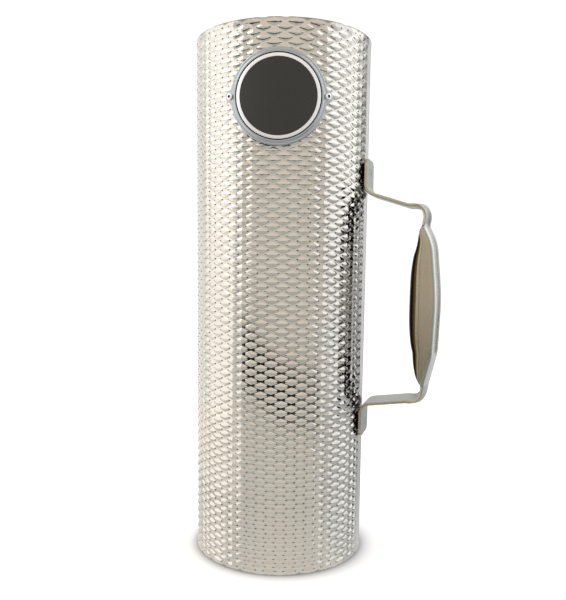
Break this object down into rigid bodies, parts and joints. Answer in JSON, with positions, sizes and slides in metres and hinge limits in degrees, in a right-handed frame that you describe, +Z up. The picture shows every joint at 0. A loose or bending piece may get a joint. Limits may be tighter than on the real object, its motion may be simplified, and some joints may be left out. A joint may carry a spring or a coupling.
{
  "type": "guira",
  "caption": "Hand-held guira: an open scraping tube of embossed steel sheet with a pressed strap handle on its side and a round riveted badge plate near the upper rim.",
  "frame": {"origin": "middle of the footprint's box, on the plane that the tube's lower rim stands on", "axes": "+Z up along the tube, +X towards the handle's grip, -Y towards the badge and the front"},
  "size_m": [0.148, 0.1053, 0.305],
  "materials": {
    "embossed_steel": "bright stainless sheet with raised lozenges",
    "satin_steel": "satin stainless strap",
    "badge_grey": "satin grey",
    "badge_aluminium": "fine brushed",
    "badge_charcoal": "matt charcoal print, bare",
    "rivet_aluminium": "bright",
    "mandrel_steel": "dark broken end"
  },
  "bodies": {
    "root": {"body_shell": "embossed_steel", "handle_strap": "satin_steel", "badge_bezel": "badge_grey", "badge_face": "badge_aluminium", "badge_inlay": "badge_charcoal", "badge_rivet_left": "rivet_aluminium", "badge_rivet_right": "rivet_aluminium", "badge_mandrel_left": "mandrel_steel", "badge_mandrel_right": "mandrel_steel"}
  },
  "joints": []
}
